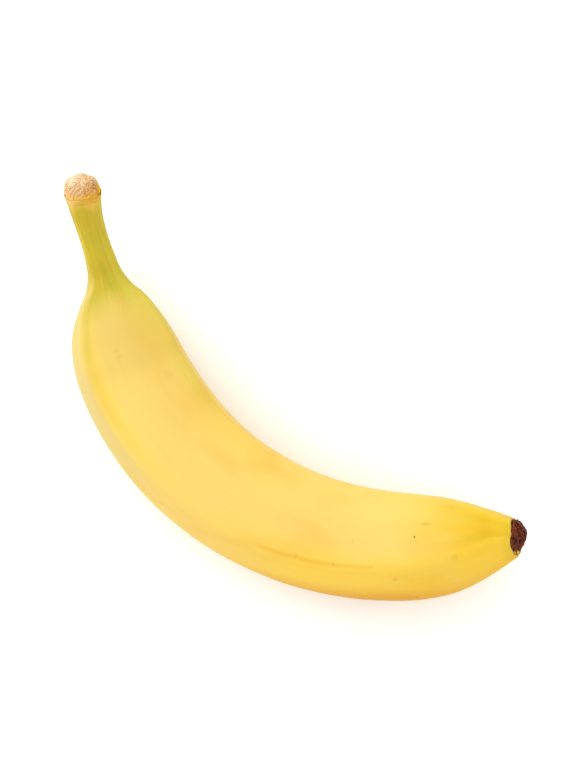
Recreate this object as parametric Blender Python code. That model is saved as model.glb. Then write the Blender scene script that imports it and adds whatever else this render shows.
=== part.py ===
"""A single ripe banana, lying on its side as picked, with its cut stem and its dried flower end.

The fruit is one grown piece, so it is one solid: a run of five-sided rings lofted along a curved
spine, with a fibrous dome on the cut stem and a crusty knob where the flower fell off.
+Z is up and the fruit rests on Z = 0. X runs from the cut stem to the flower end, the belly is
towards -Y, and the origin is the middle of the footprint. Sizes are in millimetres until the
points are made, and angles are in degrees.
"""

import math

import bmesh
import bpy
from mathutils import Vector, noise

MM = 0.001

# Lengths along the spine, measured from the rim of the cut stem
PEEL_LENGTH = 197.0
STEM_DOME_LENGTH = 6.5
FLOWER_KNOB_LENGTH = 4.1

# Profiles along the spine, as (distance from the stem's rim, value)
HEADING = (
    (0, -46), (6, -38.5), (13, -34.5), (27, -36.2), (44, -36.7), (54, -29), (77, -15), (102, 1.5),
    (122, 14), (142, 26), (162, 37), (182, 45.5), (191, 46.5), (197, 40),
)
HALF_WIDTH = (
    (0, 5.8), (2, 5.4), (5, 5.0), (10, 4.55), (20, 4.65), (26, 5.6), (30, 7.4), (34, 10.15),
    (38, 12.6), (43, 14.85), (50, 16.6), (60, 17.6), (77, 18.25), (102, 18.35), (127, 18.05),
    (142, 17.7), (157, 17.2), (170, 16.2), (178, 14.8), (185, 12.45), (192, 9.1), (197, 6.3),
)
DEPTH_SHARE = ((0, 1.0), (20, 0.92), (42, 0.95), (77, 0.98), (152, 0.98), (197, 0.96))
LIFT = (
    (0, 18.6), (13, 14.1), (26, 9.9), (35, 5.2), (45, 1.5), (57, -0.1), (71, -0.35),
    (137, -0.35), (152, 0.1), (167, 2.5), (182, 6.4), (191, 10.2), (197, 14.7),
)
FLATNESS = ((0, 0.35), (12, 0.5), (32, 0.65), (62, 0.55), (112, 0.4), (162, 0.5), (197, 0.6))

# The ridges' angles round the ring, from straight up and positive towards the inner curve
LOWER_OUTER_RIDGE = -110.0
UPPER_OUTER_RIDGE = ((0, -38), (30, -43), (77, -43), (117, -32), (152, -22), (197, -6))
UPPER_INNER_RIDGE = ((0, 50), (30, 58), (77, 60), (132, 68), (167, 62), (197, 54))
LOWER_INNER_RIDGE = 122.0
UNDER_RIDGE = 178.0
RIDGE_ROUNDING = 6.0
ROUNDING_SAMPLES = 5

# The two ends: how full their domes are, how far they lean to the inner curve, and their relief
STEM_FULLNESS = 2.3
STEM_LEAN = -0.4
STEM_LUMPS = 0.5
FIBRE_COUNT = 9
FIBRE_RELIEF = 0.2
FIBRE_TWIST = 5.0
FLOWER_FULLNESS = 1.6
FLOWER_LEAN = 1.5
CRUST_LUMPS = 0.6
FOLD_COUNT = 7
FOLD_RELIEF = 0.35
LUMP_SPACING = 2.6
SHELF_SHARE = 0.95

# Facets of the solid, with the ring stretches as (where it ends, spacing of its rings)
POINTS_PER_FACE = 8
FACES_ROUND = 5
POINTS_ROUND = POINTS_PER_FACE * FACES_ROUND
RING_STRETCHES = ((62.0, 2.4), (168.0, 4.0), (PEEL_LENGTH, 2.4))
END_RINGS = 7
SPINE_STEPS_PER_MM = 2
DIRECTION_REACH = 0.5
CUT_TOLERANCE = 1e-7

PEEL_YELLOW = (0.93, 0.66, 0.13, 1.0)
PEEL_ROUGHNESS = 0.42


def smooth_value(profile, at):
    """The profile's value at a distance, on a cubic through its points with averaged slopes."""
    places = [place for place, _ in profile]
    values = [value for _, value in profile]
    if at <= places[0]:
        return values[0]
    if at >= places[-1]:
        return values[-1]
    gaps = [b - a for a, b in zip(places, places[1:])]
    rises = [(b - a) / gap for a, b, gap in zip(values, values[1:], gaps)]
    slopes = [rises[0]]
    for gap, next_gap, rise, next_rise in zip(gaps, gaps[1:], rises, rises[1:]):
        slopes.append((next_gap * rise + gap * next_rise) / (gap + next_gap))
    slopes.append(rises[-1])
    k = max(i for i, place in enumerate(places[:-1]) if place <= at)
    t = (at - places[k]) / gaps[k]
    start = (1 + 2 * t) * (1 - t) ** 2 * values[k] + t * (1 - t) ** 2 * gaps[k] * slopes[k]
    end = t * t * (3 - 2 * t) * values[k + 1] + t * t * (t - 1) * gaps[k] * slopes[k + 1]
    return start + end


def half_depth(at):
    return smooth_value(HALF_WIDTH, at) * smooth_value(DEPTH_SHARE, at)


def spine_point(at):
    """The spine's point: its heading summed in short steps, at a height that gives its lift."""
    steps = max(1, round(at * SPINE_STEPS_PER_MM))
    step = at / steps
    x = 0.0
    y = 0.0
    for i in range(steps):
        heading = math.radians(smooth_value(HEADING, (i + 0.5) * step))
        x += math.cos(heading) * step
        y += math.sin(heading) * step
    return Vector((x, y, smooth_value(LIFT, at) + half_depth(at)))


def axes(at):
    """The spine's direction, and the ring's inner and up directions."""
    inside = min(max(at, DIRECTION_REACH), PEEL_LENGTH - DIRECTION_REACH)
    along = spine_point(inside + DIRECTION_REACH) - spine_point(inside - DIRECTION_REACH)
    along.normalize()
    up = (Vector((0, 0, 1)) - along.z * along).normalized()
    return along, up.cross(along), up


def ridge_angles(at):
    """The five ridges' angles at a distance, from the underside's ridge round to it again."""
    return (
        UNDER_RIDGE - 360,
        LOWER_OUTER_RIDGE,
        smooth_value(UPPER_OUTER_RIDGE, at),
        smooth_value(UPPER_INNER_RIDGE, at),
        LOWER_INNER_RIDGE,
        UNDER_RIDGE,
    )


def ring_angle(index, ridges):
    """The angle of a ring's point: each face has as many, so that a point runs along each ridge."""
    face, step = divmod(index, POINTS_PER_FACE)
    return ridges[face] + (ridges[face + 1] - ridges[face]) * step / POINTS_PER_FACE


def sharp_radius(angle, ridges, flatness):
    """A circle's radius drawn in towards the chord between two ridges by the flatness."""
    angle = ridges[0] + (angle - ridges[0]) % 360
    for low, high in zip(ridges, ridges[1:]):
        if low <= angle <= high:
            half = math.radians(high - low) / 2
            chord = math.cos(half) / math.cos(math.radians(angle - low) - half)
            return 1 + flatness * (chord - 1)
    raise ValueError(f"no face holds the angle {angle}")


def rounded_radius(angle, ridges, flatness):
    """The sharp radius averaged over a few nearby angles, which rounds the ridges off."""
    spread = [2 * i / (ROUNDING_SAMPLES - 1) - 1 for i in range(ROUNDING_SAMPLES)]
    radii = [sharp_radius(angle + RIDGE_ROUNDING * s, ridges, flatness) for s in spread]
    return sum(radii) / len(radii)


def fitted(values, half_size):
    """Coordinates shifted and stretched so that together they span the half size both ways."""
    low = min(values)
    high = max(values)
    return [(2 * (value - low) / (high - low) - 1) * half_size for value in values]


def section(at):
    """The ring's outline as (inner, up) pairs about the spine, at its width and depth."""
    ridges = ridge_angles(at)
    flatness = smooth_value(FLATNESS, at)
    across = []
    upwards = []
    for i in range(POINTS_ROUND):
        angle = ring_angle(i, ridges)
        radius = rounded_radius(angle, ridges, flatness)
        across.append(math.sin(math.radians(angle)) * radius)
        upwards.append(math.cos(math.radians(angle)) * radius)
    return list(zip(fitted(across, smooth_value(HALF_WIDTH, at)), fitted(upwards, half_depth(at))))


def ring_places():
    """The rings' distances along the peel, evenly spaced in each stretch."""
    places = [0.0]
    for end, spacing in RING_STRETCHES:
        start = places[-1]
        steps = round((end - start) / spacing)
        places += [start + (end - start) * (i + 1) / steps for i in range(steps)]
    return places


def peel_ring(at):
    _, inner, up = axes(at)
    return [spine_point(at) + inner * p + up * q for p, q in section(at)]


def end_rings(at, outwards, length, fullness, lean, relief):
    """Rings that close an end as a rough dome, from a narrow shelf in the peel's edge to its tip."""
    along, inner, up = axes(at)
    along *= outwards
    reach = along * length + inner * lean
    ridges = ridge_angles(at)
    rings = []
    for k in range(END_RINGS):
        rise = math.sin(math.radians(90 * k / END_RINGS))
        shrink = (1 - rise**fullness) ** (1 / fullness) * SHELF_SHARE
        ring = []
        for i, (p, q) in enumerate(section(at)):
            side = (inner * p + up * q) * shrink
            point = spine_point(at) + reach * rise + side
            if k > 0:
                outward = (along * rise * length + side).normalized()
                point += outward * relief(point, ring_angle(i, ridges), rise)
            ring.append(point)
        rings.append(ring)
    return rings, spine_point(at) + reach


def stem_relief(point, angle, rise):
    """Soft lumps on the cut stem's dome, and torn fibres that twist up its sides."""
    fibres = math.sin(FIBRE_COUNT * math.radians(angle) + FIBRE_TWIST * rise) * (1 - rise)
    return STEM_LUMPS * noise.noise(point / LUMP_SPACING) + FIBRE_RELIEF * fibres


def flower_relief(point, angle, rise):
    """Crusty lumps on the flower's scar, and dried folds that run in to its tip."""
    folds = math.cos(FOLD_COUNT * math.radians(angle)) * rise
    return CRUST_LUMPS * noise.noise(point / LUMP_SPACING) + FOLD_RELIEF * folds


def loft(name, rings, first_tip, last_tip):
    """A closed mesh object through the rings, with a fan of triangles on each tip."""
    shape = bmesh.new()
    loops = [[shape.verts.new(point * MM) for point in ring] for ring in rings]
    for low, high in zip(loops, loops[1:]):
        for i in range(POINTS_ROUND):
            j = (i + 1) % POINTS_ROUND
            shape.faces.new((low[i], low[j], high[j], high[i]))
    for tip, loop in ((first_tip, loops[0]), (last_tip, loops[-1])):
        point = shape.verts.new(tip * MM)
        for i in range(POINTS_ROUND):
            shape.faces.new((loop[i], loop[(i + 1) % POINTS_ROUND], point))
    bmesh.ops.recalc_face_normals(shape, faces=shape.faces)
    flatten_underside(shape)
    mesh = bpy.data.meshes.new(name)
    shape.to_mesh(mesh)
    shape.free()
    return bpy.data.objects.new(name, mesh)


def flatten_underside(shape):
    """Cuts the lowest skin off at Z = 0, which leaves the flat spot that the fruit lies on."""
    everything = shape.verts[:] + shape.edges[:] + shape.faces[:]
    cut = bmesh.ops.bisect_plane(
        shape,
        geom=everything,
        dist=CUT_TOLERANCE,
        plane_co=(0, 0, 0),
        plane_no=(0, 0, 1),
        clear_inner=True,
    )
    rim = [edge for edge in cut["geom_cut"] if isinstance(edge, bmesh.types.BMEdge)]
    bmesh.ops.edgeloop_fill(shape, edges=rim)
    bmesh.ops.recalc_face_normals(shape, faces=shape.faces)


def centre_in_plan(obj):
    """Moves the mesh so that the middle of its footprint is the origin."""
    for axis in (0, 1):
        places = [vertex.co[axis] for vertex in obj.data.vertices]
        middle = (min(places) + max(places)) / 2
        for vertex in obj.data.vertices:
            vertex.co[axis] -= middle


def peel_material():
    material = bpy.data.materials.new("ripe_peel")
    material.use_nodes = True
    shader = material.node_tree.nodes["Principled BSDF"]
    shader.inputs["Base Color"].default_value = PEEL_YELLOW
    shader.inputs["Roughness"].default_value = PEEL_ROUGHNESS
    shader.inputs["Metallic"].default_value = 0.0
    return material


def build_banana():
    peel = [peel_ring(at) for at in ring_places()]
    dome, stem_tip = end_rings(0.0, -1, STEM_DOME_LENGTH, STEM_FULLNESS, STEM_LEAN, stem_relief)
    knob, flower_tip = end_rings(
        PEEL_LENGTH, 1, FLOWER_KNOB_LENGTH, FLOWER_FULLNESS, FLOWER_LEAN, flower_relief
    )
    banana = loft("banana", dome[::-1] + peel + knob, stem_tip, flower_tip)
    centre_in_plan(banana)
    banana.data.materials.append(peel_material())
    banana.data.shade_smooth()
    return banana


def main():
    for obj in list(bpy.data.objects):
        bpy.data.objects.remove(obj)
    collection = bpy.data.collections.new("banana")
    bpy.context.scene.collection.children.link(collection)
    collection.objects.link(build_banana())


main()
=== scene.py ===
"""A ripe banana with its cut stem and its dried flower end, lying on its side in a white studio.

The peel is one sheet rolled round the fruit's spine, and the cut stem's dry tissue and the
flower's scar are pieces of their own that sit in its two ends. Sizes are in millimetres in the
tables and in metres in the settings and the meshes, and the tables' angles are in degrees.
"""

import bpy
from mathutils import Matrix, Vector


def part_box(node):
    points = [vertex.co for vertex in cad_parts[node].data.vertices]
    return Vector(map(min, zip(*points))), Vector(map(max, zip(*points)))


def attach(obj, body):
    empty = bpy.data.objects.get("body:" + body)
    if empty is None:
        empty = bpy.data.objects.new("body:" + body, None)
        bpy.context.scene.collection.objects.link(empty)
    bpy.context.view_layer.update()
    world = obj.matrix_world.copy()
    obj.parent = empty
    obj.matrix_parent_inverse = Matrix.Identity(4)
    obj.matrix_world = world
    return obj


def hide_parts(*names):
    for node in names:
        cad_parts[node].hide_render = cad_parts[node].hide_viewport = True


bl_info = {
    "name": "Ripe banana",
    "version": (1, 0, 0),
    "blender": (4, 5, 0),
    "location": "3D View > Sidebar > Banana",
    "description": "Models a ripe banana with its cut stem and flower end, and a white studio",
    "category": "Add Mesh",
}

import functools
import math
import random

import bmesh
import bpy
import numpy as np
from bpy.props import FloatProperty, FloatVectorProperty, IntProperty, PointerProperty
from mathutils import Matrix, Vector, noise
from mathutils.bvhtree import BVHTree

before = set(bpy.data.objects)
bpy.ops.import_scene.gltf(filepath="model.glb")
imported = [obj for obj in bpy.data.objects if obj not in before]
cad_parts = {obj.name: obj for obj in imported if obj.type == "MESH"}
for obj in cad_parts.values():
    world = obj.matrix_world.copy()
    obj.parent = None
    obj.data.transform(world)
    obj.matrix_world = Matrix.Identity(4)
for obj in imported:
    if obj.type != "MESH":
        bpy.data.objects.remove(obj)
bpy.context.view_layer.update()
BOX_LOW, BOX_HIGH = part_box("banana")

MM = 0.001

# Where the middle of the stem's rim is, from the low X and low Y sides of the fruit's box
RIM_FROM_BOX = (6.34, 61.74)
PEEL_LENGTH = 197.0

# Steps that the spine is summed in, and how far its direction is taken over at its ends and inside
SPINE_STEP = 0.5
SHORT_REACH = 0.5
LONG_REACH = 4.0

# Profiles along the spine, as (distance from the stem's rim, value): its heading seen from above,
# the fruit's half width, its depth as a share of its width, its underside's height over the floor,
# and how flat the faces between the ridges are, from 0 for round to 1 for straight
HEADING = (
    (0, -46), (6, -38.5), (13, -34.5), (27, -36.2), (44, -36.7), (54, -29), (77, -15), (102, 1.5),
    (122, 14), (142, 26), (162, 37), (182, 45.5), (191, 46.5), (197, 40),
)
HALF_WIDTH = (
    (0, 5.8), (2, 5.4), (5, 5.0), (10, 4.55), (20, 4.65), (26, 5.6), (30, 7.4), (34, 10.15),
    (38, 12.6), (43, 14.85), (50, 16.6), (60, 17.6), (77, 18.25), (102, 18.35), (127, 18.05),
    (142, 17.7), (157, 17.2), (170, 16.2), (178, 14.8), (185, 12.45), (192, 9.1), (197, 6.3),
)
DEPTH_SHARE = ((0, 1.0), (20, 0.92), (42, 0.95), (77, 0.98), (152, 0.98), (197, 0.96))
LIFT = (
    (0, 18.6), (13, 14.1), (26, 9.9), (35, 5.2), (45, 1.5), (57, -0.1), (71, -0.35),
    (137, -0.35), (152, 0.1), (167, 2.5), (182, 6.4), (191, 10.2), (197, 14.7),
)
FLATNESS = ((0, 0.35), (12, 0.5), (32, 0.65), (62, 0.55), (112, 0.4), (162, 0.5), (197, 0.6))

# The ridges' angles round the fruit, from straight up and positive towards the inner curve
LOWER_OUTER_RIDGE = -110.0
UPPER_OUTER_RIDGE = ((0, -38), (30, -43), (77, -43), (117, -32), (152, -22), (197, -6))
UPPER_INNER_RIDGE = ((0, 50), (30, 58), (77, 60), (132, 68), (167, 62), (197, 54))
LOWER_INNER_RIDGE = 122.0
UNDER_RIDGE = 178.0
RIDGE_ROUNDING = 6.0
ROUNDING_SAMPLES = 9
FACES_ROUND = 5
FIT_SAMPLES = 80

# Radius of the even tube that the skin's lengthwise patterns are laid out on
ROLLED_RADIUS = 18.0

# The skin's soft waves, on a narrow tube for their width, and the keels at the shoulder
WAVE_TUBE = 2.2
WAVE_LENGTH = 30.0
FINER_WAVES = 2.1
KEEL_WIDTH = 1.2
KEEL_RISES = (24, 42)
KEEL_SINKS = (60, 100)

# Specks on the skin, as (distance along, share of the way round, length, width, depth of colour)
SPECKS = (
    (50.5, 0.472, 1.3, 1.1, 0.14), (52.5, 0.474, 1.1, 1.6, 0.1), (64.0, 0.559, 4.0, 2.2, 0.08),
    (170.8, 0.521, 3.2, 1.3, 0.24), (169.4, 0.518, 1.2, 1.2, 0.16), (146.6, 0.463, 0.7, 1.4, 0.18),
    (161.7, 0.367, 1.6, 1.4, 0.22), (178.2, 0.408, 2.0, 1.8, 0.15), (178.6, 0.584, 3.0, 1.6, 0.1),
    (193.3, 0.456, 0.9, 0.9, 0.12), (131.4, 0.409, 1.2, 0.8, 0.22), (141.9, 0.407, 1.1, 0.8, 0.22),
    (166.2, 0.469, 0.7, 1.6, 0.1), (168.0, 0.467, 0.7, 1.8, 0.12), (120.0, 0.66, 1.4, 1.0, 0.3),
    (88.0, 0.74, 2.2, 1.0, 0.25), (134.0, 0.13, 1.8, 1.0, 0.3), (60.0, 0.18, 1.2, 0.9, 0.25),
    (152.0, 0.86, 1.6, 1.0, 0.3), (102.0, 0.93, 3.0, 1.2, 0.25), (72.0, 0.88, 1.1, 0.9, 0.3),
)
DARK_SPECKS = (
    (167.2, 0.481, 0.7, 0.8, 0.62), (167.0, 0.256, 0.7, 0.6, 0.8), (111.0, 0.82, 0.7, 0.6, 0.6),
    (-0.1, 0.268, 1.5, 1.4, 0.95), (-0.1, 0.665, 1.8, 1.8, 0.8),
)

# The two uneven rims, with the distances over which they grow out of the even peel
RIM_RAGGEDNESS = 0.45
RIM_TUBE = 3.0
RIM_GRAIN = 5.0
STEM_RIM = 4.0
FLOWER_RIM = 5.0
TAB_REACH = 1.5
TAB_SHARE = 0.262
TAB_WIDTH = 0.03

# The domes that close the two ends, and the shelf and the socket that they sit in
STEM_DOME_LENGTH = 5.8
STEM_FULLNESS = 2.3
STEM_LEAN = -0.4
FLOWER_KNOB_LENGTH = 3.8
FLOWER_FULLNESS = 1.7
FLOWER_LEAN = 1.5
SHELF_SHARE = 0.95
SOCKET_DEPTH = 1.5
DOME_SEGMENTS = 160
DOME_RINGS = 110

# The torn tissue's swellings and crumbs, and its threads with their slant (across, outwards)
SWELLING = 0.5
SWELLING_SIZE = 2.6
THREAD_SLANT = (0.75, 0.66)
THREAD_WIDTH = 0.5
THREAD_LENGTH = 2.8
FINER_THREADS = 1.7
CRUMB_SIZE = 0.35
TISSUE_RISES = (-0.1, 0.15)

# The crust's noise, as (size outwards, spots to a half width across, size upwards)
FOLDS = (0.55, 1.6, 1.6)
LUMPS = (0.7, 7.0, 0.9)
CREASES = (0.9, 3.0, 0.8)
NARROWEST_ARC = 0.12
TALLEST_FOLD = 0.45
CRUST_RISES = (-0.1, 0.25)

# Lumps of the scar's outline, as (place across from the belly's side to the inner one, reach, width)
SCAR_LUMPS = ((-0.72, 0.3, 0.14), (-0.45, -0.4, 0.14), (0.84, -0.25, 0.14), (0.2, 0.25, 0.35))

# A loose strand's rings after the first two, each as a share of the one before, and its step from
# ring to ring as a share of its length. Its radius and its lift are shares of its thickness
STRAND_TAPER = (1.1, 1.0, 0.9, 0.75, 0.45)
STRAND_STEP = 1 / (len(STRAND_TAPER) + 1)
STRAND_SIDES = 6
STRAND_RADIUS = 0.4
STRAND_LIFT = 0.1

# How the strands are scattered: their slant outwards, how far they spread from it, and the ranges
# that each one's start (to the inner curve, outwards, up), length and share of thickness are in
STRAND_SEED = 12
STRAND_SLANT = 41.253
STRAND_SPREAD = 28.0
STRAND_START = ((-5, 5), (0.3, 6), (-5, 5.5))
STRAND_LENGTHS = (1.2, 3.2)
STRAND_SHARES = (0.6, 1.3)

# The turn of the photograph's frame on the floor, and where its middle is, to its right and its top
PHOTO_TURN = 39.0
VIEW_CENTRE = (15.07, 15.63)

# In metres: the key light's place (to the frame's right, to its top, up), the floor's side and how
# far it is below the fruit's flat spot, and the camera's furthest sight
KEY_PLACE = (-0.68, 0.7, 0.5)
FLOOR_SIZE = 6.0
FLOOR_DROP = 0.00005
FAR_CLIP = 20.0


def linear(hex_colour):
    """An sRGB hex colour as linear red, green and blue, with full alpha."""
    channels = [int(hex_colour[i:i + 2], 16) / 255 for i in (1, 3, 5)]
    return [c / 12.92 if c <= 0.04045 else ((c + 0.055) / 1.055) ** 2.4 for c in channels] + [1.0]


def colour_setting(name, description, hex_colour):
    return FloatVectorProperty(
        name=name, description=description, default=linear(hex_colour), size=4,
        subtype="COLOR", min=0.0, max=1.0,
    )


class BananaShape(bpy.types.PropertyGroup):
    """Sizes of the peel's fine form and of what sits in its two ends"""

    points_round: IntProperty(
        name="Points round", description="Points of the peel's sheet round the fruit",
        default=160, min=40, max=240,
    )
    rings_along: IntProperty(
        name="Rings along", description="Rings of the peel's sheet along the fruit",
        default=430, min=100, max=480,
    )
    skin_waves: FloatProperty(
        name="Skin waves", description="Height of the soft unevenness that runs along the peel",
        default=0.00018, min=0.0, max=0.001, unit="LENGTH", precision=5,
    )
    ridge_keel: FloatProperty(
        name="Ridge keel", description="How far the ridges stand up at the shoulder",
        default=0.00035, min=0.0, max=0.001, unit="LENGTH", precision=5,
    )
    torn_furrows: FloatProperty(
        name="Torn furrows", description="Depth of the furrows in the cut stem's dry tissue",
        default=0.00045, min=0.0, max=0.002, unit="LENGTH", precision=5,
    )
    strand_count: IntProperty(
        name="Strands", description="Loose fibres that lie on the cut stem",
        default=50, min=2, max=300,
    )
    strand_thickness: FloatProperty(
        name="Strand thickness", description="Thickness of a loose fibre on the cut stem",
        default=0.00031, min=0.0001, max=0.001, unit="LENGTH", precision=5,
    )
    crust_relief: FloatProperty(
        name="Crust relief", description="Height of the lumps and folds on the flower's scar",
        default=0.0006, min=0.0, max=0.002, unit="LENGTH", precision=5,
    )


class BananaFinish(bpy.types.PropertyGroup):
    """Colours of the peel, the cut stem and the flower's scar"""

    body: colour_setting("Body", "Ripe peel along the middle of the fruit", "#D9B962")
    shoulder: colour_setting("Shoulder", "Peel where the fruit begins to swell", "#C5AA58")
    # Also laid as painted shade beside and along the upper outer ridge at the shoulder
    neck: colour_setting("Neck", "Greenish peel at the narrow neck", "#A3962C")
    stem: colour_setting("Stem", "Olive peel of the stem", "#B3A22F")
    flower_end: colour_setting("Flower end", "Richer peel near the flower's scar", "#CFAD2B")
    # Painted sheen: paler, greyer peel laid outside the upper outer ridge and on the stem's outer side,
    # where the light grazes the skin
    painted_sheen: colour_setting("Pale side", "Bleached peel outside the upper ridge", "#C2AE6B")
    lemon: colour_setting("Lemon", "Lemon yellow peel between the belly and the ridge", "#E4BC3C")
    # Partly the peel's own gold, partly painted shade where it deepens along the belly's lower edge
    belly: colour_setting("Belly", "Deep golden peel along the belly", "#CA8C06")
    # Partly green that lingers on the peel, partly painted shade in thin lines along the two upper ridges
    green_and_ridge_shade: colour_setting("Unripe", "Green that lingers beside the ridges", "#B9AC3C")
    cut_edge: colour_setting("Cut edge", "Dried rim of the peel at both ends", "#D7AB4A")
    rubbed: colour_setting("Rubbed", "Orange line where a ridge was rubbed", "#DAA82A")
    bruise: colour_setting("Bruise", "Tan specks and fibres in the skin", "#A6682A")
    tissue: colour_setting("Dry tissue", "Pale torn tissue on the cut stem", "#DFCDB0")
    furrow: colour_setting("Furrows", "Deeper tissue in the cut stem's furrows", "#BC843E")
    crust: colour_setting("Crust", "Dried crust of the flower's scar", "#4A1C0A")
    # Also laid as painted highlight on the tops of the crust's folds
    crust_ridge: colour_setting("Crust ridges", "Worn ridges of the dried crust", "#7C3E24")
    # Laid as painted shade in the crust's deep folds, and as a dark corner beside the dry tab
    crevice: colour_setting("Crevices", "Near black in the dried crust's deep folds", "#120805")


class BananaStudio(bpy.types.PropertyGroup):
    """The camera, the light and the paper floor"""

    lens: FloatProperty(
        name="Lens", description="Focal length of the camera in millimetres",
        default=135.0, min=20.0, max=300.0, subtype="DISTANCE_CAMERA",
    )
    camera_height: FloatProperty(
        name="Camera height", description="Height of the camera over the floor",
        default=0.9105, min=0.3, max=5.0, unit="LENGTH",
    )
    sky_strength: FloatProperty(
        name="Sky", description="Strength of the even white light from all round",
        default=1.25, min=0.0, max=5.0,
    )
    key_power: FloatProperty(
        name="Key light", description="Power of the large soft light, in watts",
        default=8.5, min=0.0, max=500.0, unit="POWER",
    )
    key_size: FloatProperty(
        name="Key size", description="Side of the large soft light",
        default=0.9, min=0.05, max=3.0, unit="LENGTH",
    )
    sky: colour_setting("Sky colour", "Colour of the even light from all round", "#FFFFFF")
    paper: colour_setting("Paper", "White of the paper floor", "#FBFAF8")
    paper_fibre: colour_setting("Paper fibres", "Fibres in the paper floor", "#F6F5F2")


@functools.cache
def smooth_value(profile, at):
    """The profile's value at a distance, on a cubic through its points with averaged slopes."""
    places = [place for place, _ in profile]
    values = [value for _, value in profile]
    if at <= places[0]:
        return values[0]
    if at >= places[-1]:
        return values[-1]
    gaps = [b - a for a, b in zip(places, places[1:])]
    rises = [(b - a) / gap for a, b, gap in zip(values, values[1:], gaps)]
    slopes = [rises[0]]
    for gap, next_gap, rise, next_rise in zip(gaps, gaps[1:], rises, rises[1:]):
        slopes.append((next_gap * rise + gap * next_rise) / (gap + next_gap))
    slopes.append(rises[-1])
    k = max(i for i, place in enumerate(places[:-1]) if place <= at)
    t = (at - places[k]) / gaps[k]
    start = (1 + 2 * t) * (1 - t) ** 2 * values[k] + t * (1 - t) ** 2 * gaps[k] * slopes[k]
    end = t * t * (3 - 2 * t) * values[k + 1] + t * t * (t - 1) * gaps[k] * slopes[k + 1]
    return start + end


def smooth_step(low, high, value):
    """0 below low and 1 above high, with an even ease between them."""
    share = min(max((value - low) / (high - low), 0.0), 1.0)
    return share * share * (3 - 2 * share)


def half_depth(at):
    return smooth_value(HALF_WIDTH, at) * smooth_value(DEPTH_SHARE, at)


@functools.cache
def spine_track():
    """The middle line seen from above, with its heading summed in short steps from the rim."""
    x = BOX_LOW.x / MM + RIM_FROM_BOX[0]
    y = BOX_LOW.y / MM + RIM_FROM_BOX[1]
    track = [(x, y)]
    for i in range(round(PEEL_LENGTH / SPINE_STEP)):
        heading = math.radians(smooth_value(HEADING, (i + 0.5) * SPINE_STEP))
        x += math.cos(heading) * SPINE_STEP
        y += math.sin(heading) * SPINE_STEP
        track.append((x, y))
    return track


def spine_point(at):
    """The spine's point at a distance, at the height that its lift and its depth give."""
    track = spine_track()
    k = min(int(at / SPINE_STEP), len(track) - 2)
    share = at / SPINE_STEP - k
    x, y = (a + (b - a) * share for a, b in zip(track[k], track[k + 1]))
    return Vector((x, y, smooth_value(LIFT, at) + half_depth(at)))


def axes(at):
    """The spine's direction, and the directions to the inner curve and up, across the fruit.

    The direction is taken over a longer reach away from the two ends, which keeps the neck smooth.
    """
    inside = min(max(at, SHORT_REACH), PEEL_LENGTH - SHORT_REACH)
    reach = min(inside, PEEL_LENGTH - inside, LONG_REACH)
    along = spine_point(inside + reach) - spine_point(inside - reach)
    along.normalize()
    up = (Vector((0, 0, 1)) - along.z * along).normalized()
    return along, up.cross(along), up


@functools.cache
def ridge_angles(at):
    """The five ridges' angles at a distance, from the underside's ridge round to it again."""
    upper = (smooth_value(UPPER_OUTER_RIDGE, at), smooth_value(UPPER_INNER_RIDGE, at))
    return np.array((UNDER_RIDGE - 360, LOWER_OUTER_RIDGE, *upper, LOWER_INNER_RIDGE, UNDER_RIDGE))


def sharp_radius(angles, ridges, flatness):
    """A circle's radius drawn in towards the chord between two ridges by the flatness."""
    angles = ridges[0] + (angles - ridges[0]) % 360
    face = np.clip(np.searchsorted(ridges, angles, side="right") - 1, 0, FACES_ROUND - 1)
    half = np.radians(ridges[face + 1] - ridges[face]) / 2
    chord = np.cos(half) / np.cos(np.radians(angles - ridges[face]) - half)
    return 1 + flatness * (chord - 1)


def unit_outline(shares, at):
    """A ring's outline before it is fitted to its size, with its ridges rounded off.

    Each of the five faces has a fifth of the way round, and each radius is averaged over a few
    nearby angles.
    """
    ridges = ridge_angles(at)
    angles = np.interp(shares, np.linspace(0, 1, FACES_ROUND + 1), ridges)
    spread = np.linspace(-RIDGE_ROUNDING, RIDGE_ROUNDING, ROUNDING_SAMPLES)
    nearby = sharp_radius(angles[:, None] + spread, ridges, smooth_value(FLATNESS, at))
    radii = nearby.mean(axis=1)
    turns = np.radians(angles)
    return np.stack((np.sin(turns) * radii, np.cos(turns) * radii), axis=1)


def section(shares, at):
    """A ring's points, across to the inner curve and up, fitted to its width and depth."""
    whole = unit_outline(np.linspace(0, 1, FIT_SAMPLES), at)
    low = whole.min(axis=0)
    high = whole.max(axis=0)
    half_size = np.array((smooth_value(HALF_WIDTH, at), half_depth(at)))
    return (2 * (unit_outline(np.asarray(shares), at) - low) / (high - low) - 1) * half_size


def start_piece(name, add_primitive, **settings):
    """Adds a primitive with nothing else selected, and names its object and its mesh."""
    bpy.ops.object.select_all(action="DESELECT")
    add_primitive(**settings)
    piece = bpy.context.object
    piece.name = name
    piece.data.name = name
    return piece


def finish_piece(piece, material):
    """Gives a piece its material, its shading and its place on the fruit's body."""
    piece.data.materials.clear()
    piece.data.materials.append(material)
    piece.data.shade_smooth()
    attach(piece, "root")


def grown_relief(share, at):
    """How far the skin stands out: soft waves that run along it, and keels on its ridges."""
    shape = bpy.context.scene.banana_shape
    turn = 2 * math.pi * share
    tube = Vector((math.cos(turn) * WAVE_TUBE, math.sin(turn) * WAVE_TUBE, at / WAVE_LENGTH))
    waves = noise.noise(tube) + 0.5 * noise.noise(tube * FINER_WAVES)
    nearest = abs(share * FACES_ROUND - round(share * FACES_ROUND)) / FACES_ROUND
    aside = nearest * 2 * math.pi * smooth_value(HALF_WIDTH, at)
    keel = math.exp(-(aside / KEEL_WIDTH) ** 2)
    keel *= smooth_step(*KEEL_RISES, at) * (1 - smooth_step(*KEEL_SINKS, at))
    return (shape.skin_waves * waves + shape.ridge_keel * keel) / MM


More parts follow.
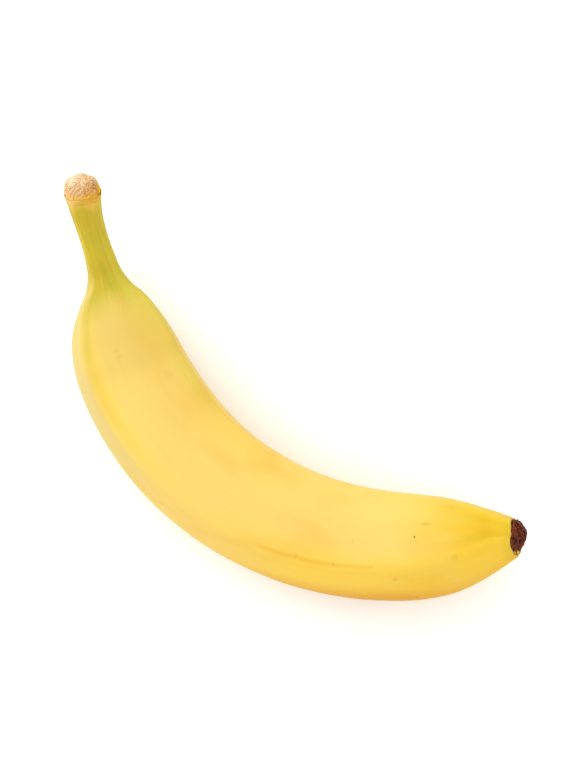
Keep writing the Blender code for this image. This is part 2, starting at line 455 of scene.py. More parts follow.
def rim_reach(share, at):
    """How far the two uneven rims stand out along the spine, with a dry tab at the flower end."""
    turn = 2 * math.pi * share
    tube = Vector((math.cos(turn) * RIM_TUBE, math.sin(turn) * RIM_TUBE, at / RIM_GRAIN))
    ragged = RIM_RAGGEDNESS * noise.noise(tube)
    tab = TAB_REACH * math.exp(-((share - TAB_SHARE) / TAB_WIDTH) ** 2)
    at_flower = smooth_step(PEEL_LENGTH - FLOWER_RIM, PEEL_LENGTH, at)
    at_stem = 1 - smooth_step(0, STEM_RIM, at)
    return (ragged + tab) * at_flower - ragged * at_stem


def inside_box(point):
    """A point in metres, held inside the fruit's box."""
    return Vector([min(max(value, low), high) for value, low, high in zip(point, BOX_LOW, BOX_HIGH)])


def roll_peel(peel):
    """Rolls the sheet round the spine: its width goes round the fruit and its length along it."""
    rolled = peel.data.attributes.new("rolled", "FLOAT_VECTOR", "POINT")
    stations = {}
    for vertex in peel.data.vertices:
        stations.setdefault(round(vertex.co.y, 5), []).append(vertex)
    for y, row in stations.items():
        at = (y + 0.5) * PEEL_LENGTH
        along, inner, up = axes(at)
        middle = spine_point(at)
        shares = [min(max(vertex.co.x + 0.5, 0.0), 1.0) for vertex in row]
        for vertex, share, (p, q) in zip(row, shares, section(shares, at)):
            side = inner * float(p) + up * float(q)
            point = middle + side + side.normalized() * grown_relief(share, at)
            point += along * rim_reach(share, at)
            vertex.co = inside_box(point * MM)
            turn = 2 * math.pi * share
            rolled.data[vertex.index].vector = (
                ROLLED_RADIUS * math.cos(turn), ROLLED_RADIUS * math.sin(turn), at
            )


def close_end(peel, at):
    """Turns the peel's edge in to a narrow shelf and a shallow socket, and closes its floor."""
    along, _, _ = axes(at)
    inwards = along if at < PEEL_LENGTH / 2 else -along
    middle = spine_point(at) * MM
    bpy.ops.object.mode_set(mode="EDIT")
    bpy.ops.mesh.select_mode(type="VERT")
    bpy.ops.mesh.select_all(action="DESELECT")
    shape = bmesh.from_edit_mesh(peel.data)
    place = shape.verts.layers.float_vector["rolled"]
    for vertex in shape.verts:
        vertex.select = vertex.is_boundary and abs(vertex[place].z - at) < SPINE_STEP
    shape.select_flush(True)
    bmesh.update_edit_mesh(peel.data)
    bpy.ops.mesh.extrude_region_move()
    bpy.ops.transform.resize(value=(SHELF_SHARE,) * 3, center_override=middle)
    bpy.ops.mesh.extrude_region_move(TRANSFORM_OT_translate={"value": inwards * SOCKET_DEPTH * MM})
    bpy.ops.mesh.edge_face_add()
    bpy.ops.object.mode_set(mode="OBJECT")


class BANANA_OT_peel(bpy.types.Operator):
    """Roll the peel round the fruit's spine, with its ridges, neck and stem"""

    bl_idname = "banana.peel"
    bl_label = "Peel"
    bl_options = {"REGISTER", "UNDO"}

    def execute(self, context):
        shape = context.scene.banana_shape
        peel = start_piece(
            "peel", bpy.ops.mesh.primitive_grid_add,
            x_subdivisions=shape.points_round, y_subdivisions=shape.rings_along, size=1.0,
        )
        roll_peel(peel)
        bpy.ops.object.mode_set(mode="EDIT")
        bpy.ops.mesh.select_all(action="SELECT")
        bpy.ops.mesh.remove_doubles(threshold=0.00001)
        bpy.ops.object.mode_set(mode="OBJECT")
        for at in (0.0, PEEL_LENGTH):
            close_end(peel, at)
        bpy.ops.object.mode_set(mode="EDIT")
        bpy.ops.mesh.select_all(action="SELECT")
        bpy.ops.mesh.normals_make_consistent(inside=False)
        bpy.ops.object.mode_set(mode="OBJECT")
        finish_piece(peel, peel_material(context.scene.banana_finish))
        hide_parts("banana")
        return {"FINISHED"}


def dome_points(sphere, at, outwards, length, fullness, lean):
    """A sphere's points moved onto an end's dome, and its lower half into the peel's socket."""
    along, inner, up = axes(at)
    along = along * outwards
    ridges = ridge_angles(at)
    turns = [math.degrees(math.atan2(vertex.co.x, vertex.co.y)) for vertex in sphere.data.vertices]
    turns = ridges[0] + (np.array(turns) - ridges[0]) % 360
    outline = section(np.interp(turns, ridges, np.linspace(0, 1, FACES_ROUND + 1)), at)
    points = []
    for vertex, (p, q) in zip(sphere.data.vertices, outline):
        rise = min(max(vertex.co.z, -1.0), 1.0)
        reach = along * length + inner * lean if rise > 0 else along * SOCKET_DEPTH
        power = fullness if rise > 0 else 2
        shrink = (1 - abs(rise) ** power) ** (1 / power) * SHELF_SHARE
        points.append(spine_point(at) + reach * rise + (inner * float(p) + up * float(q)) * shrink)
    return points


def torn(point):
    """Threads and furrows of torn tissue that run across the cut, from -1 in the deepest furrows."""
    along, inner, _ = axes(0.0)
    across, outwards = THREAD_SLANT
    thread = (inner * across - along * outwards).normalized()
    lengthwise = point.dot(thread)
    stretched = (point - thread * lengthwise) / THREAD_WIDTH + thread * lengthwise / THREAD_LENGTH
    furrows = abs(noise.noise(stretched * FINER_THREADS))
    return 0.6 * noise.noise(stretched) - furrows + 0.3 * noise.noise(point / CRUMB_SIZE)


class BANANA_OT_cut_stem(bpy.types.Operator):
    """Model the dry torn tissue that stands out of the cut stem"""

    bl_idname = "banana.cut_stem"
    bl_label = "Cut stem"
    bl_options = {"REGISTER", "UNDO"}

    def execute(self, context):
        shape = context.scene.banana_shape
        dome = start_piece(
            "cut_stem", bpy.ops.mesh.primitive_uv_sphere_add,
            segments=DOME_SEGMENTS, ring_count=DOME_RINGS, radius=1.0,
        )
        cut = dome.data.attributes.new("cut", "FLOAT_VECTOR", "POINT")
        along, inner, _ = axes(0.0)
        centre = spine_point(0.0)
        points = dome_points(dome, 0.0, -1, STEM_DOME_LENGTH, STEM_FULLNESS, STEM_LEAN)
        for vertex, point in zip(dome.data.vertices, points):
            away = point - centre
            height = torn(point)
            rise = vertex.co.z
            swelling = SWELLING * noise.noise(point / SWELLING_SIZE)
            relief = swelling + shape.torn_furrows / MM * height
            point += away.normalized() * min(relief, rise) * smooth_step(*TISSUE_RISES, rise)
            vertex.co = inside_box(point * MM)
            cut.data[vertex.index].vector = (away.dot(inner), -away.dot(along), height)
        finish_piece(dome, tissue_material(context.scene.banana_finish))
        return {"FINISHED"}


def model_strand():
    """One loose fibre as a rod that swells and tapers, with a length of 1 before it is laid out."""
    strand = start_piece(
        "strand", bpy.ops.mesh.primitive_cylinder_add,
        vertices=STRAND_SIDES, radius=STRAND_RADIUS, depth=STRAND_STEP, location=(0, 0, STRAND_STEP / 2),
    )
    bpy.ops.object.transform_apply(location=True, rotation=True, scale=True)
    bpy.ops.object.mode_set(mode="EDIT")
    bpy.ops.mesh.select_mode(type="FACE")
    bpy.ops.mesh.select_all(action="DESELECT")
    shape = bmesh.from_edit_mesh(strand.data)
    for face in shape.faces:
        face.select = face.normal.z > 0.9
    bmesh.update_edit_mesh(strand.data)
    for ratio in STRAND_TAPER:
        bpy.ops.mesh.extrude_region_move(TRANSFORM_OT_translate={"value": (0, 0, STRAND_STEP)})
        bpy.ops.transform.resize(value=(ratio, ratio, 1))
    bpy.ops.object.mode_set(mode="OBJECT")
    return strand


def lay_strand(strand, surface, start, heading, length, thickness):
    """Lays a copy of the fibre along the dome's skin, half sunk into it."""
    for vertex in strand.data.vertices:
        place, normal, _, _ = surface.find_nearest(start + heading * length * vertex.co.z)
        side = heading.cross(normal).normalized()
        lifted = normal * (vertex.co.y + STRAND_LIFT) + side * vertex.co.x
        vertex.co = inside_box(place + lifted * thickness)


class BANANA_OT_loose_strands(bpy.types.Operator):
    """Scatter loose dry fibres over the cut stem's tissue"""

    bl_idname = "banana.loose_strands"
    bl_label = "Loose strands"
    bl_options = {"REGISTER", "UNDO"}

    def execute(self, context):
        dome = bpy.data.objects.get("cut_stem")
        if dome is None:
            raise RuntimeError("The strands lie on the cut stem, so it is made first")
        shape = context.scene.banana_shape
        surface = BVHTree.FromObject(dome, context.evaluated_depsgraph_get())
        draw = random.Random(STRAND_SEED)
        along, inner, up = axes(0.0)
        centre = spine_point(0.0)
        strand = model_strand()
        strands = [strand]
        for _ in range(1, shape.strand_count):
            copy = strand.copy()
            copy.data = strand.data.copy()
            context.collection.objects.link(copy)
            strands.append(copy)
        for copy in strands:
            slant = math.radians(draw.gauss(STRAND_SLANT, STRAND_SPREAD))
            heading = (inner * math.cos(slant) - along * math.sin(slant)).normalized()
            across, outwards, upwards = (draw.uniform(*span) for span in STRAND_START)
            aim = inner * across - along * outwards + up * upwards
            length = draw.uniform(*STRAND_LENGTHS) * MM
            start, _, _, _ = surface.find_nearest((centre + aim) * MM)
            thickness = shape.strand_thickness * draw.uniform(*STRAND_SHARES)
            lay_strand(copy, surface, start, heading, length, thickness)
            copy.select_set(True)
        context.view_layer.objects.active = strand
        bpy.ops.object.join()
        strand.name = "stem_strands"
        strand.data.name = "stem_strands"
        finish_piece(strand, strand_material(context.scene.banana_finish))
        return {"FINISHED"}


def crust_noise(out, across, up, sizes):
    """Noise on the scar, with its spots' sizes given as in the table of them."""
    return noise.noise(Vector((out / sizes[0], across * sizes[1], up / sizes[2])))


def folded(across, out, up):
    """Dried folds that run in arcs from the belly's side of the scar round to the inner one."""
    arc = out / math.sqrt(max(1 - across * across, NARROWEST_ARC))
    folds = crust_noise(arc, across, up, FOLDS)
    lumps = crust_noise(out, across, up, LUMPS)
    creases = abs(crust_noise(arc, across, up, CREASES))
    return folds + 0.7 * lumps - 0.6 * creases


class BANANA_OT_flower_scar(bpy.types.Operator):
    """Model the dark dried crust where the flower fell off"""

    bl_idname = "banana.flower_scar"
    bl_label = "Flower scar"
    bl_options = {"REGISTER", "UNDO"}

    def execute(self, context):
        shape = context.scene.banana_shape
        knob = start_piece(
            "flower_scar", bpy.ops.mesh.primitive_uv_sphere_add,
            segments=DOME_SEGMENTS, ring_count=DOME_RINGS, radius=1.0,
        )
        scar = knob.data.attributes.new("scar", "FLOAT_VECTOR", "POINT")
        along, inner, up = axes(PEEL_LENGTH)
        centre = spine_point(PEEL_LENGTH)
        half_width = smooth_value(HALF_WIDTH, PEEL_LENGTH)
        points = dome_points(
            knob, PEEL_LENGTH, 1, FLOWER_KNOB_LENGTH, FLOWER_FULLNESS, FLOWER_LEAN
        )
        for vertex, point in zip(knob.data.vertices, points):
            away = point - centre
            across = away.dot(inner) / half_width
            height = folded(across, away.dot(along), away.dot(up))
            lumps = sum(
                reach * math.exp(-((across - at) / width) ** 2) for at, reach, width in SCAR_LUMPS
            )
            folds = away.normalized() * min(height, TALLEST_FOLD) * shape.crust_relief / MM
            point += (folds + along * lumps) * smooth_step(*CRUST_RISES, vertex.co.z)
            vertex.co = inside_box(point * MM)
            scar.data[vertex.index].vector = (across, away.dot(along), height)
        finish_piece(knob, crust_material(context.scene.banana_finish))
        return {"FINISHED"}


def add(tree, kind, inputs=None, stops=None, **settings):
    """Adds a node with its settings and its colour stops, and fills or links its inputs."""
    node = tree.nodes.new(kind)
    for name, value in settings.items():
        setattr(node, name, value)
    for key, value in (inputs or {}).items():
        if isinstance(value, bpy.types.NodeSocket):
            tree.links.new(value, node.inputs[key])
        else:
            node.inputs[key].default_value = value
    for i, (position, colour) in enumerate(stops or []):
        elements = node.color_ramp.elements
        element = elements[i] if i < 2 else elements.new(position)
        element.position = position
        element.color = colour
    if stops:
        node.color_ramp.interpolation = "EASE"
    return node


def start_material(name):
    """A new material, with its node tree and its shader."""
    material = bpy.data.materials.new(name)
    material.use_nodes = True
    return material, material.node_tree, material.node_tree.nodes["Principled BSDF"]


def band(tree, value, low, high, soft):
    """A mask that is 1 between two values and fades out over a soft margin on both sides."""
    edges = [
        add(
            tree, "ShaderNodeMapRange",
            {"Value": value, "From Min": edge - side * soft, "From Max": edge + side * soft},
            interpolation_type="SMOOTHSTEP",
        )
        for edge, side in ((low, 1), (high, -1))
    ]
    return add(
        tree, "ShaderNodeMath", {0: edges[0].outputs[0], 1: edges[1].outputs[0]}, operation="MULTIPLY"
    ).outputs[0]


def patch(tree, place, along, share, soft):
    """A soft-edged patch of the skin, between distances along and shares of the way round."""
    sides = (
        band(tree, place.outputs["Z"], *along, soft[0]),
        band(tree, place.outputs["X"], *share, soft[1]),
    )
    return add(tree, "ShaderNodeMath", dict(enumerate(sides)), operation="MULTIPLY").outputs[0]


def spot(tree, place, at, share, length, width):
    """A small spot on the skin, with its length and width in millimetres and a soft edge."""
    girth = 2 * math.pi * smooth_value(HALF_WIDTH, at)
    away = add(
        tree, "ShaderNodeVectorMath", {0: place, 1: (share, 0, at)}, operation="SUBTRACT"
    )
    sized = add(
        tree, "ShaderNodeVectorMath",
        {0: away.outputs[0], 1: (2 * girth / width, 0, 2 / length)}, operation="MULTIPLY",
    )
    radius = add(tree, "ShaderNodeVectorMath", {0: sized.outputs[0]}, operation="LENGTH")
    return add(
        tree, "ShaderNodeMapRange", {"Value": radius.outputs["Value"], "From Min": 1.3, "From Max": 0.5},
        interpolation_type="SMOOTHSTEP",
    ).outputs[0]


def grain(tree, vector, sizes, detail=2.0):
    """Noise whose spots have the given sizes along the vector's three axes, in the vector's units.

    Object coordinates are in metres, and the peel's rolled tube is in millimetres.
    """
    scaled = add(
        tree, "ShaderNodeVectorMath",
        {0: vector, 1: tuple(1 / size for size in sizes)}, operation="MULTIPLY",
    )
    return add(
        tree, "ShaderNodeTexNoise", {"Vector": scaled.outputs[0], "Scale": 1.0, "Detail": detail}
    )


def faded(tree, value, low, high, depth=1.0):
    """A mask that rises evenly from 0 at low to its depth at high, or falls where low is higher."""
    return add(
        tree, "ShaderNodeMapRange",
        {"Value": value, "From Min": low, "From Max": high, "To Max": depth},
        interpolation_type="SMOOTHSTEP",
    ).outputs[0]


def both(tree, mask, other):
    """Where both masks are, by their product."""
    return add(tree, "ShaderNodeMath", {0: mask, 1: other}, operation="MULTIPLY").outputs[0]


def layered(tree, colour, layers):
    """A colour with layers over it, each as (colour, mask, depth)."""
    for over, mask, depth in layers:
        strength = add(tree, "ShaderNodeMath", {0: mask, 1: depth}, operation="MULTIPLY")
        colour = add(
            tree, "ShaderNodeMix", {0: strength.outputs[0], 6: colour, 7: over}, data_type="RGBA"
        ).outputs[2]
    return colour


def peel_material(finish):
    """Ripe peel, grown: waxy skin with a wide soft gloss that lets a little light in.

    The colour runs from the olive stem over a green neck to the golden flower end. Soft patches,
    fine lengthwise fibres and a few specks lie over it. Painted sheen lies outside the upper outer
    ridge, and painted shade lies along the upper ridges and the belly's edge.
    """
    material, tree, shader = start_material("ripe_peel_waxy_skin")
    uv = add(tree, "ShaderNodeUVMap", uv_map="UVMap")
    measured = add(
        tree, "ShaderNodeVectorMath", {0: uv.outputs["UV"], 1: (1, PEEL_LENGTH, 0)}, operation="MULTIPLY"
    )
    split = add(tree, "ShaderNodeSeparateXYZ", {0: measured.outputs[0]})
    exact_place = add(
        tree, "ShaderNodeCombineXYZ", {"X": split.outputs["X"], "Z": split.outputs["Y"]}
    ).outputs[0]
    exact = add(tree, "ShaderNodeSeparateXYZ", {0: exact_place})
    rolled = add(tree, "ShaderNodeAttribute", attribute_name="rolled").outputs["Vector"]

    # Borders between the colours wander by a few millimetres
    shifted = add(
        tree, "ShaderNodeVectorMath",
        {0: grain(tree, rolled, (12, 12, 26), 1.0).outputs["Color"], 1: (0.5, 0.5, 0.5)},
        operation="SUBTRACT",
    )
    drift = add(
        tree, "ShaderNodeVectorMath", {0: shifted.outputs[0], 1: (0.03, 0, 10)}, operation="MULTIPLY"
    )
    drifted = add(
        tree, "ShaderNodeVectorMath", {0: exact_place, 1: drift.outputs[0]}, operation="ADD"
    )
    place = add(tree, "ShaderNodeSeparateXYZ", {0: drifted.outputs[0]})
    length_share = add(
        tree, "ShaderNodeMath", {0: place.outputs["Z"], 1: PEEL_LENGTH}, operation="DIVIDE"
    )

    # The ramp's own two stops are its ends, so they come first
    grown = add(tree, "ShaderNodeValToRGB", {0: length_share.outputs[0]}, stops=[
        (0.0, finish.stem),
        (1.0, finish.flower_end),
        (18 / PEEL_LENGTH, finish.stem),
        (30 / PEEL_LENGTH, finish.neck),
        (44 / PEEL_LENGTH, finish.shoulder),
        (72 / PEEL_LENGTH, finish.body),
        (155 / PEEL_LENGTH, finish.body),
        (189 / PEEL_LENGTH, finish.flower_end),
    ])

    fibres = grain(tree, rolled, (1.2, 1.2, 16), 3.0).outputs["Fac"]
    fibre_mask = faded(tree, fibres, 0.5, 0.72)
    stem_fibres = both(tree, fibre_mask, faded(tree, place.outputs["Z"], 44, 20))
    coordinates = add(tree, "ShaderNodeTexCoord").outputs["Object"]
    inner_edge = patch(tree, place, (60, 190), (0.6, 0.7), (16, 0.04))
    cloud = grain(tree, coordinates, (16 * MM,) * 3, 3.0).outputs["Fac"]
    other_cloud = grain(tree, rolled, (9, 9, 20), 2.0).outputs["Fac"]
    breaks = grain(tree, rolled, (6, 6, 3.5), 3.0).outputs["Fac"]
    ridge_line = both(
        tree, patch(tree, exact, (120, 160), (0.404, 0.409), (9, 0.005)), faded(tree, breaks, 0.32, 0.52)
    )
    ragged = grain(tree, rolled, (3.5, 3.5, 3.5), 3.0).outputs["Fac"]
    # The strip outside the upper outer ridge, where painted sheen is laid
    outer_side = patch(tree, exact, (34, 83), (-1, 0.4), (11, 0.005))
    spill = patch(tree, exact, (-20, 1.6), (0.1, 0.44), (1.6, 0.06))
    torn_edge = both(
        tree, faded(tree, ragged, 0.3, 0.62), patch(tree, exact, (-20, 0.35), (-1, 2), (0.5, 0.1))
    )

    # A patch is given in millimetres from the stem's rim and in shares of the way round, where the
    # lower outer ridge is 0.2, the upper outer 0.4, the upper inner 0.6 and the lower inner 0.8
    skin = layered(tree, grown.outputs["Color"], [
        # Painted sheen on the stem's outer side
        (finish.painted_sheen, patch(tree, exact, (2, 30), (0.17, 0.35), (10, 0.03)), 0.35),
        (finish.lemon, patch(tree, place, (116, 215), (0.2, 0.42), (24, 0.04)), 0.75),
        # Deep gold along the belly: partly the peel's own colour, partly painted shade that darkens the
        # belly's edge
        (finish.belly, patch(tree, place, (124, 184), (0.15, 0.3), (28, 0.06)), 0.95),
        (finish.lemon, patch(tree, place, (56, 112), (0.56, 0.72), (24, 0.06)), 0.4),
        (finish.green_and_ridge_shade, patch(tree, place, (12, 48), (0.54, 0.7), (10, 0.05)), 0.5),
        (finish.shoulder, patch(tree, place, (54, 84), (0.47, 0.9), (14, 0.05)), 0.35),
        (finish.shoulder, patch(tree, place, (84, 215), (0.61, 0.9), (24, 0.05)), 0.55),
        # Painted shade in the neck's green beside the upper outer ridge at the shoulder
        (finish.neck, patch(tree, exact, (24, 37), (0.42, 0.45), (8, 0.014)), 0.45),
        # Thin lines along the upper inner ridge and just inside the upper outer ridge: partly green,
        # partly painted shade of the ridges' grooves
        (finish.green_and_ridge_shade, patch(tree, place, (46, 82), (0.585, 0.605), (12, 0.014)), 0.4),
        (finish.green_and_ridge_shade, patch(tree, exact, (36, 78), (0.406, 0.42), (12, 0.009)), 0.45),
        (finish.lemon, patch(tree, exact, (44, 90), (0.412, 0.43), (12, 0.014)), 0.3),
        # Painted shade in the neck's green that deepens the line inside the upper outer ridge
        (finish.neck, patch(tree, exact, (38, 48), (0.406, 0.418), (7, 0.007)), 0.3),
        # Painted sheen on the strip outside the upper outer ridge at the shoulder
        (finish.painted_sheen, both(tree, outer_side, faded(tree, exact.outputs["X"], 0.14, 0.27)), 0.8),
        (finish.painted_sheen, patch(tree, exact, (27, 36), (0.2, 0.412), (6, 0.007)), 0.55),
        (finish.neck, patch(tree, exact, (22, 44), (0.15, 0.37), (8, 0.03)), 0.35),
        (finish.rubbed, patch(tree, place, (22, 30), (0.445, 0.465), (6, 0.02)), 0.3),
        (finish.neck, patch(tree, exact, (21, 29), (0.44, 0.5), (5, 0.03)), 0.4),
        (finish.rubbed, patch(tree, place, (180, 197), (0.49, 0.52), (8, 0.02)), 0.6),
        (finish.lemon, patch(tree, place, (178, 200), (0.43, 0.45), (8, 0.02)), 0.6),
        (finish.lemon, patch(tree, place, (180, 200), (0.57, 0.62), (8, 0.03)), 0.6),
        (finish.body, faded(tree, cloud, 0.45, 0.8), 0.3),
        (finish.belly, faded(tree, other_cloud, 0.46, 0.85), 0.25),
        (finish.bruise, fibre_mask, 0.035),
        (finish.bruise, both(tree, fibre_mask, inner_edge), 0.12),
        (finish.bruise, stem_fibres, 0.28),
        (finish.bruise, patch(tree, exact, (122, 142), (0.402, 0.408), (9, 0.006)), 0.26),
        (finish.rubbed, ridge_line, 0.7),
        (finish.cut_edge, patch(tree, place, (-20, 3.0), (-1, 2), (2.4, 0.1)), 0.9),
        (finish.cut_edge, patch(tree, place, (-20, 4.8), (0.2, 0.42), (2.0, 0.06)), 0.7),
        (finish.belly, patch(tree, exact, (-20, 0.9), (0.44, 0.9), (1.1, 0.06)), 0.45),
        (finish.tissue, both(tree, spill, faded(tree, ragged, 0.3, 0.6)), 0.3),
        (finish.cut_edge, patch(tree, exact, (196.6, 240), (-1, 2), (0.3, 0.1)), 0.6),
        (finish.cut_edge, patch(tree, exact, (195.8, 240), (0.24, 0.285), (0.8, 0.012)), 0.8),
        (finish.bruise, patch(tree, exact, (-20, 8), (0.15, 0.375), (4, 0.04)), 0.33),
        (finish.neck, patch(tree, exact, (194.5, 240), (-1, 2), (1.5, 0.1)), 0.2),
        (finish.bruise, torn_edge, 0.25),
        (finish.crust, patch(tree, exact, (196.98, 240), (-1, 2), (0.1, 0.1)), 0.95),
        *((finish.bruise, spot(tree, exact_place, *sizes), depth) for *sizes, depth in SPECKS),
        *((finish.crust, spot(tree, exact_place, *sizes), depth) for *sizes, depth in DARK_SPECKS),
    ])
    tree.links.new(skin, shader.inputs["Base Color"])

    pores = grain(tree, coordinates, (0.9 * MM,) * 3).outputs["Fac"]
    height = add(tree, "ShaderNodeMath", {0: fibres, 1: pores}, operation="ADD")
    bump = add(
        tree, "ShaderNodeBump",
        {"Height": height.outputs[0], "Strength": 0.2, "Distance": 0.1 * MM},
    )
    tree.links.new(bump.outputs["Normal"], shader.inputs["Normal"])
    gloss = add(
        tree, "ShaderNodeMapRange",
        {"Value": cloud, "From Min": 0.3, "From Max": 0.7, "To Min": 0.42, "To Max": 0.54},
    )
    tree.links.new(gloss.outputs[0], shader.inputs["Roughness"])
    shader.inputs["Specular IOR Level"].default_value = 0.05
    shader.inputs["Subsurface Weight"].default_value = 0.15
    shader.inputs["Subsurface Radius"].default_value = (1.0, 0.6, 0.15)
    shader.inputs["Subsurface Scale"].default_value = 1.5 * MM
    return material


def tissue_material(finish):
    """Stem tissue, torn and dried: chalky pale threads over tan furrows, with no gloss."""
    material, tree, shader = start_material("stem_tissue_torn_dry")
    cut = add(tree, "ShaderNodeAttribute", attribute_name="cut").outputs["Vector"]
    split = add(tree, "ShaderNodeSeparateXYZ", {0: cut})
    coordinates = add(tree, "ShaderNodeTexCoord").outputs["Object"]
    patches = grain(tree, coordinates, (1.6 * MM,) * 3).outputs["Fac"]
    holes = grain(tree, coordinates, (0.6 * MM,) * 3).outputs["Fac"]

    # Millimetres across to the inner curve and outwards from the rim, and the threads' own height
    across, outwards, height = (split.outputs[axis] for axis in "XYZ")
    shaded_side = faded(tree, across, -3.5, 3.0)
    base = faded(tree, outwards, 2.6, 0.2)
    rim = both(tree, faded(tree, across, 3.6, 5.2), faded(tree, outwards, 4.0, 2.0))
    lower = faded(tree, outwards, 5.7, 3.4)
    orange = both(tree, faded(tree, across, -2, 3), faded(tree, outwards, 2.8, 0.8))
    deep = faded(tree, height, 0.0, -0.4)
    chalk = layered(tree, finish.tissue, [
        (finish.furrow, lower, 0.52),
        (finish.furrow, faded(tree, height, 0.05, -0.55), 0.65),
        (finish.furrow, both(tree, shaded_side, faded(tree, patches, 0.42, 0.62)), 0.6),
        (finish.furrow, shaded_side, 0.25),
        (finish.cut_edge, base, 0.75),
        (finish.bruise, both(tree, faded(tree, holes, 0.58, 0.7), deep), 0.55),
        (finish.rubbed, orange, 0.5),
        (finish.belly, orange, 0.35),
        (finish.rubbed, rim, 0.6),
        (finish.bruise, both(tree, rim, faded(tree, patches, 0.45, 0.6)), 0.7),
    ])
    tree.links.new(chalk, shader.inputs["Base Color"])
    bump = add(tree, "ShaderNodeBump", {"Height": holes, "Strength": 0.5, "Distance": 0.2 * MM})
    tree.links.new(bump.outputs["Normal"], shader.inputs["Normal"])
    shader.inputs["Roughness"].default_value = 0.85
    shader.inputs["Specular IOR Level"].default_value = 0.2
    return material


def strand_material(finish):
    """Stem fibre, torn out and dried: pale chalky thread that is tan in places."""
    material, tree, shader = start_material("stem_fibre_torn_dry")
    coordinates = add(tree, "ShaderNodeTexCoord").outputs["Object"]
    patches = grain(tree, coordinates, (1.4 * MM,) * 3).outputs["Fac"]
    thread = layered(tree, finish.tissue, [
        (finish.cut_edge, patches, 0.5),
        (finish.furrow, faded(tree, patches, 0.42, 0.65), 0.75),
    ])
    tree.links.new(thread, shader.inputs["Base Color"])
    shader.inputs["Roughness"].default_value = 0.8
    shader.inputs["Specular IOR Level"].default_value = 0.2
    return material


def crust_material(finish):
    """Flower scar, dried on the fruit: dark brittle crust, red-brown on its folds' tops as wear and as
    painted highlight, with painted shade in its deep folds.
    """
    material, tree, shader = start_material("flower_scar_dried_crust")
    scar = add(tree, "ShaderNodeAttribute", attribute_name="scar").outputs["Vector"]
    split = add(tree, "ShaderNodeSeparateXYZ", {0: scar})
    coordinates = add(tree, "ShaderNodeTexCoord").outputs["Object"]
    patches = grain(tree, coordinates, (1.8 * MM,) * 3, 3.0).outputs["Fac"]
    flakes = grain(tree, coordinates, (0.5 * MM,) * 3).outputs["Fac"]

    # Half widths across to the inner curve, millimetres outwards, and the folds' own height
    across, outwards, height = (split.outputs[axis] for axis in "XYZ")
    # Red-brown on the folds' tops: partly wear, partly painted highlight
    worn_and_lit_tops = both(tree, faded(tree, height, 0.0, 0.5), faded(tree, patches, 0.4, 0.6))
    tab = both(tree, faded(tree, across, -0.55, -0.66), faded(tree, outwards, 2.2, 1.6))
    corner = both(tree, faded(tree, across, -0.3, -0.55), faded(tree, outwards, 1.5, 2.2))
    crust = layered(tree, finish.crust, [
        (finish.crust_ridge, faded(tree, outwards, 2.0, 0.6), 0.3),
        (finish.crust_ridge, faded(tree, across, -0.1, -0.5), 0.35),
        # Painted highlight and wear on the folds' tops
        (finish.crust_ridge, worn_and_lit_tops, 0.85),
        (finish.crust_ridge, faded(tree, flakes, 0.52, 0.68), 0.45),
        (finish.crevice, corner, 0.45),
        # Painted shade: near black in the crust's deep folds
        (finish.crevice, faded(tree, height, -0.2, -0.7), 0.8),
        (finish.cut_edge, both(tree, tab, faded(tree, patches, 0.35, 0.5)), 0.85),
    ])
    tree.links.new(crust, shader.inputs["Base Color"])
    bump = add(tree, "ShaderNodeBump", {"Height": flakes, "Strength": 0.6, "Distance": 0.3 * MM})
    tree.links.new(bump.outputs["Normal"], shader.inputs["Normal"])
    shader.inputs["Roughness"].default_value = 0.65
    shader.inputs["Specular IOR Level"].default_value = 0.1
    return material


def paper_material(studio):
    """Matt white paper, rolled out: no gloss, and a grain too fine and faint to stand out."""
    material, tree, shader = start_material("white_paper_matt")
    coordinates = add(tree, "ShaderNodeTexCoord").outputs["Object"]
    fibres = grain(tree, coordinates, (4 * MM,) * 3, 3.0).outputs["Fac"]
    paper = layered(tree, studio.paper, [(studio.paper_fibre, fibres, 0.5)])
    tree.links.new(paper, shader.inputs["Base Color"])
    shader.inputs["Roughness"].default_value = 1.0
    shader.inputs["Specular IOR Level"].default_value = 0.0
    return material


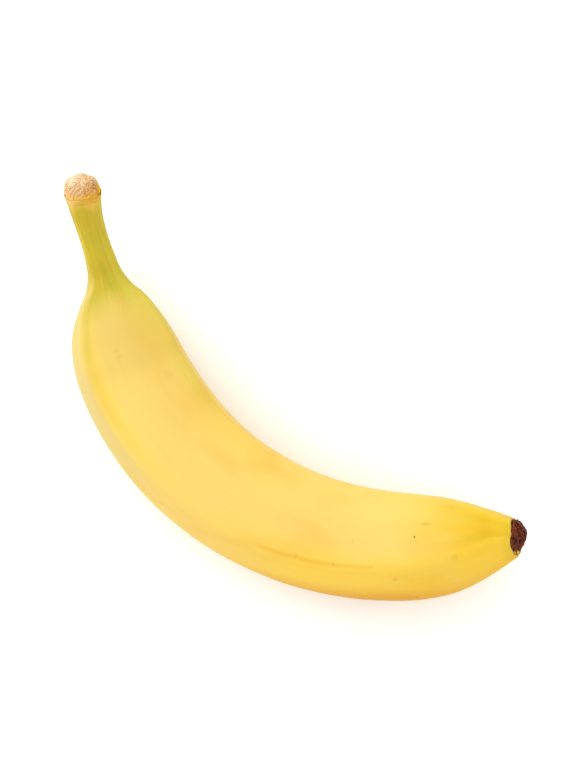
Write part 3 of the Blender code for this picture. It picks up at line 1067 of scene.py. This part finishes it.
class BANANA_OT_studio(bpy.types.Operator):
    """Lay out the white floor, the soft light and the camera that looks down on the fruit"""

    bl_idname = "banana.studio"
    bl_label = "Studio"
    bl_options = {"REGISTER", "UNDO"}

    def execute(self, context):
        scene = context.scene
        studio = scene.banana_studio
        floor = start_piece("floor", bpy.ops.mesh.primitive_plane_add, size=FLOOR_SIZE, location=(0, 0, 0))
        floor.data.transform(Matrix.Translation((0, 0, -FLOOR_DROP)))
        floor.data.materials.append(paper_material(studio))

        turn = math.radians(PHOTO_TURN)
        right = Vector((math.cos(turn), math.sin(turn), 0))
        top = Vector((-math.sin(turn), math.cos(turn), 0))
        aim = right * VIEW_CENTRE[0] * MM + top * VIEW_CENTRE[1] * MM
        bpy.ops.object.camera_add(
            location=(aim.x, aim.y, studio.camera_height), rotation=(0, 0, turn)
        )
        camera = context.object
        camera.data.lens = studio.lens
        camera.data.clip_end = FAR_CLIP
        scene.camera = camera

        side, rise, height = KEY_PLACE
        key_place = right * side + top * rise + Vector((0, 0, height))
        bpy.ops.object.light_add(type="AREA", location=key_place)
        key = context.object
        key.data.energy = studio.key_power
        key.data.size = studio.key_size
        key.rotation_euler = (-key_place).to_track_quat("-Z", "Y").to_euler()

        world = bpy.data.worlds.new("white_studio")
        world.use_nodes = True
        sky = world.node_tree.nodes["Background"]
        sky.inputs["Color"].default_value = studio.sky
        sky.inputs["Strength"].default_value = studio.sky_strength
        scene.world = world
        scene.view_settings.view_transform = "Standard"
        return {"FINISHED"}


PIECES = (
    BANANA_OT_peel, BANANA_OT_cut_stem, BANANA_OT_loose_strands, BANANA_OT_flower_scar,
    BANANA_OT_studio,
)


class BANANA_PT_panel(bpy.types.Panel):
    """Lists the pieces in the order in which they are made"""

    bl_idname = "BANANA_PT_panel"
    bl_label = "Banana"
    bl_space_type = "VIEW_3D"
    bl_region_type = "UI"
    bl_category = "Banana"

    def draw(self, context):
        for piece in PIECES:
            self.layout.operator(piece.bl_idname)


SETTINGS = {"banana_shape": BananaShape, "banana_finish": BananaFinish, "banana_studio": BananaStudio}


def register():
    for group in (*SETTINGS.values(), *PIECES, BANANA_PT_panel):
        bpy.utils.register_class(group)
    for name, group in SETTINGS.items():
        setattr(bpy.types.Scene, name, PointerProperty(type=group))


def unregister():
    for name in SETTINGS:
        delattr(bpy.types.Scene, name)
    for group in (BANANA_PT_panel, *reversed(PIECES), *reversed(SETTINGS.values())):
        bpy.utils.unregister_class(group)


def main():
    register()
    bpy.ops.banana.peel()
    bpy.ops.banana.cut_stem()
    bpy.ops.banana.loose_strands()
    bpy.ops.banana.flower_scar()
    bpy.ops.banana.studio()


if __name__ == "__main__":
    main()
